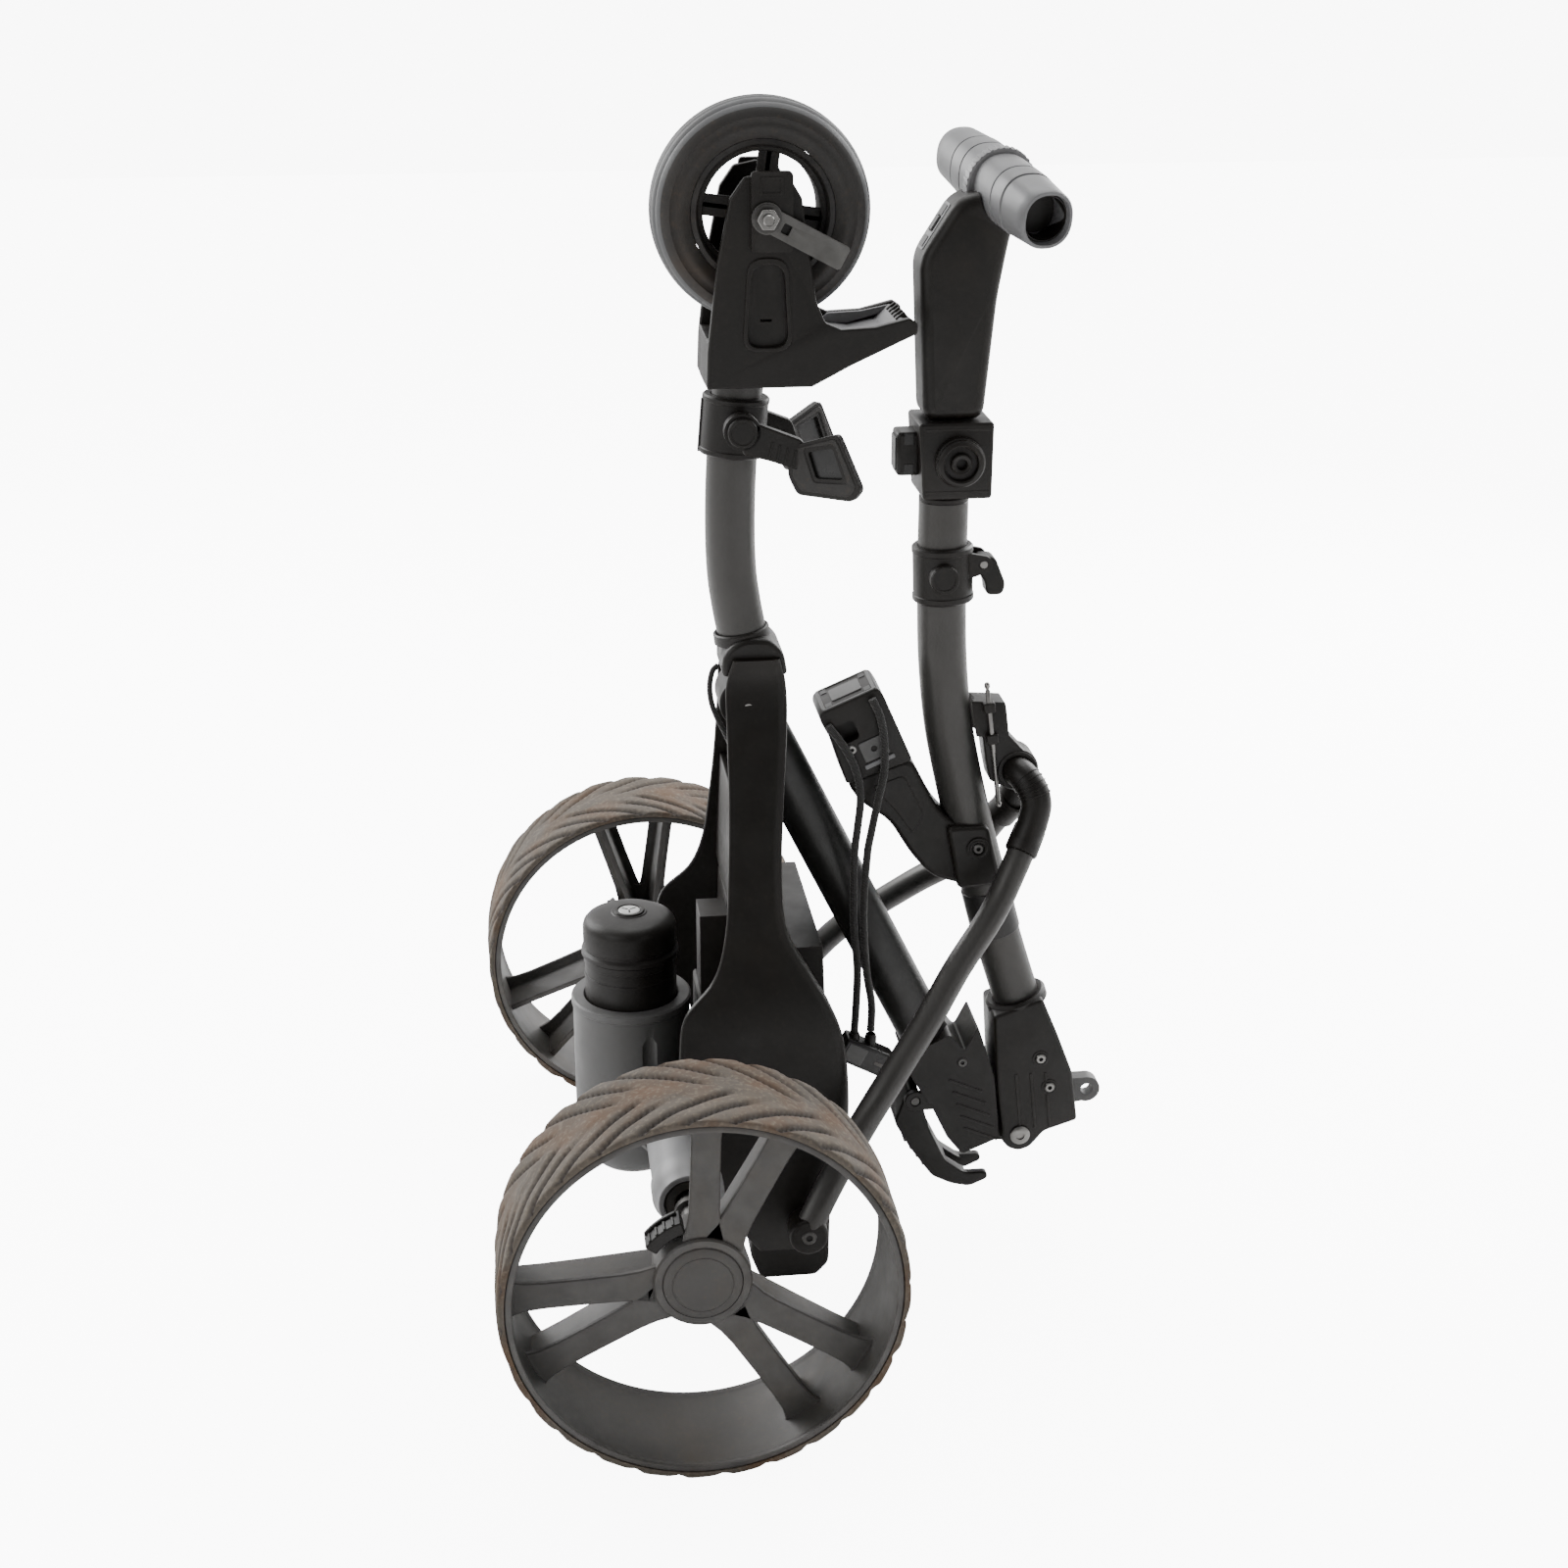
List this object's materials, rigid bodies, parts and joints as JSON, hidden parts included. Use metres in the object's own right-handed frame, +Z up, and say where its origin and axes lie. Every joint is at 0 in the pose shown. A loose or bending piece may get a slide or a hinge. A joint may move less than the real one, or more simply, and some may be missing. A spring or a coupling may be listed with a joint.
{
  "type": "folded electric golf trolley",
  "caption": "Folded electric golf trolley standing on end, with drive wheels, motor and gearbox, jointed main tubes, bag supports and a T-shaped handle.",
  "frame": {"origin": "centre of the footprint at floor level", "axes": "+Z up; +X from the drive axle towards the folded handle; +Y along the drive axle, to the far side of the pictured view"},
  "size_m": [0.4886, 0.6322, 0.8959],
  "materials": {
    "black_plastic": "fine-grained black moulding",
    "grey_plastic": "satin mid-grey moulding",
    "pale_grey": "pale satin moulding",
    "graphite_tube": "graphite satin coating on aluminium tube",
    "tyre_rubber": "worn, with dried earth in the tread",
    "soft_rubber": "worn solid rubber",
    "steel": "plated steel hardware",
    "cord": "black braided cord"
  },
  "bodies": {
    "chassis": {"side_panel_near": "black_plastic", "side_panel_far": "black_plastic", "battery_tray": "black_plastic", "nose_web": "black_plastic", "neck_socket": "black_plastic", "neck_pin": "steel", "rear_foot": "black_plastic", "gearbox_housing": "grey_plastic", "gearbox_mount": "black_plastic", "motor_can": "black_plastic", "motor_cap": "black_plastic", "axle_casing_near": "pale_grey", "axle_casing_far": "pale_grey", "front_tube": "graphite_tube", "fork": "black_plastic", "bag_rest_scoop": "pale_grey", "front_axle": "steel", "lower_collar": "black_plastic", "cable_loop": "cord"},
    "wheel_near": {"rear_tyre_near": "tyre_rubber", "rear_rim_near": "grey_plastic", "hub_cap_near": "grey_plastic", "drive_shaft_near": "steel"},
    "wheel_far": {"rear_tyre_far": "tyre_rubber", "rear_rim_far": "grey_plastic", "hub_cap_far": "grey_plastic", "drive_shaft_far": "steel"},
    "catch_near": {"release_catch_near": "black_plastic"},
    "catch_far": {"release_catch_far": "black_plastic"},
    "front_wheel": {"front_tyre": "soft_rubber", "front_rim": "grey_plastic"},
    "axle_lever": {"wheel_lever": "steel"},
    "lower_cradle": {"lower_wing_near": "black_plastic", "lower_wing_far": "black_plastic"},
    "lower_frame": {"lower_tube": "graphite_tube", "knuckle_lower": "black_plastic", "knuckle_pin": "steel"},
    "latch": {"latch_lever": "black_plastic"},
    "upper_frame": {"upper_tube": "graphite_tube", "knuckle_upper": "black_plastic", "bag_bracket": "black_plastic", "bag_head": "black_plastic", "bungee_left": "cord", "bungee_right": "cord", "bungee_hook": "pale_grey", "clamp_collar": "black_plastic", "tilt_tongue": "black_plastic"},
    "clamp": {"clamp_lever": "black_plastic"},
    "handle": {"joint_block": "black_plastic", "tilt_pin": "steel", "handle_housing": "black_plastic", "grip_bar": "pale_grey"},
    "knob": {"joint_knob": "black_plastic"},
    "dial": {"speed_dial": "pale_grey"},
    "button": {"power_button": "pale_grey"},
    "slide_block": {"crown_block": "black_plastic"},
    "pin": {"lock_pin": "steel"},
    "struts": {"strut_crown": "black_plastic", "strut_near": "graphite_tube", "strut_far": "graphite_tube"}
  },
  "joints": [
    {"name": "wheel_near_spin", "type": "hinge", "parent": "chassis", "child": "wheel_near", "pos_m": [-0.1031, -0.2721, 0.1412], "axis": [0, 1, 0], "continuous": true},
    {"name": "wheel_far_spin", "type": "hinge", "parent": "chassis", "child": "wheel_far", "pos_m": [-0.1031, 0.2721, 0.1412], "axis": [0, 1, 0], "continuous": true},
    {"name": "catch_near_slide", "type": "slide", "parent": "wheel_near", "child": "catch_near", "axis": [0.5878, 0, -0.809], "range_m": [0, 0.003], "stiffness_N_per_m": 300, "springref_m": -0.002},
    {"name": "catch_far_slide", "type": "slide", "parent": "wheel_far", "child": "catch_far", "axis": [0.829, 0, -0.5592], "range_m": [0, 0.003], "stiffness_N_per_m": 300, "springref_m": -0.002},
    {"name": "front_wheel_spin", "type": "hinge", "parent": "chassis", "child": "front_wheel", "pos_m": [-0.0294, 0, 0.819], "axis": [0, 1, 0], "continuous": true},
    {"name": "axle_lever_swing", "type": "hinge", "parent": "chassis", "child": "axle_lever", "pos_m": [-0.0294, -0.045, 0.819], "axis": [0, 1, 0], "range_deg": [-60, 20]},
    {"name": "cradle_swing", "type": "hinge", "parent": "chassis", "child": "lower_cradle", "pos_m": [-0.0461, 0, 0.6702], "axis": [0, 1, 0], "range_deg": [-8, 60]},
    {"name": "neck_fold", "type": "hinge", "parent": "chassis", "child": "lower_frame", "pos_m": [-0.0426, 0, 0.4632], "axis": [0, -1, 0], "range_deg": [0, 8.1]},
    {"name": "knuckle_fold", "type": "hinge", "parent": "lower_frame", "child": "upper_frame", "pos_m": [0.1754, 0, 0.0892], "axis": [0, 1, 0], "range_deg": [0, 168]},
    {"name": "block_travel", "type": "slide", "parent": "upper_frame", "child": "slide_block", "axis": [0.225, 0, -0.9744], "range_m": [0, 0.079]},
    {"name": "strut_swing", "type": "hinge", "parent": "slide_block", "child": "struts", "pos_m": [0.1654, 0, 0.3977], "axis": [0, -1, 0], "range_deg": [0, 69.2]},
    {"name": "latch_swing", "type": "hinge", "parent": "lower_frame", "child": "latch", "pos_m": [0.0899, 0, 0.1242], "axis": [0, 1, 0], "range_deg": [0, 30]},
    {"name": "clamp_swing", "type": "hinge", "parent": "upper_frame", "child": "clamp", "pos_m": [0.1344, 0, 0.5612], "axis": [0, -1, 0], "range_deg": [0, 90]},
    {"name": "handle_tilt", "type": "hinge", "parent": "upper_frame", "child": "handle", "pos_m": [0.1112, 0, 0.6426], "axis": [0, 1, 0], "range_deg": [0, 15]},
    {"name": "knob_turn", "type": "hinge", "parent": "handle", "child": "knob", "pos_m": [0.1112, -0.026, 0.6426], "axis": [0, 1, 0], "range_deg": [-180, 180]},
    {"name": "dial_turn", "type": "hinge", "parent": "handle", "child": "dial", "pos_m": [0.14055, 0.0058, 0.8332], "axis": [-0.1917, 0.9673, 0.1663], "range_deg": [-150, 150]},
    {"name": "button_press", "type": "slide", "parent": "handle", "child": "button", "axis": [0.8464, 0, -0.5326], "range_m": [0, 0.0015], "stiffness_N_per_m": 200, "springref_m": -0.001},
    {"name": "pin_pull", "type": "slide", "parent": "slide_block", "child": "pin", "axis": [-0.1211, 0, 0.9926], "range_m": [0, 0.008], "stiffness_N_per_m": 200, "springref_m": -0.003}
  ],
  "couplings": [
    {"joint": "neck_fold", "follows": "knuckle_fold", "ratio": 0.047619},
    {"joint": "block_travel", "follows": "knuckle_fold", "m_per_rad": 0.026725},
    {"joint": "strut_swing", "follows": "knuckle_fold", "ratio": 0.41033}
  ]
}
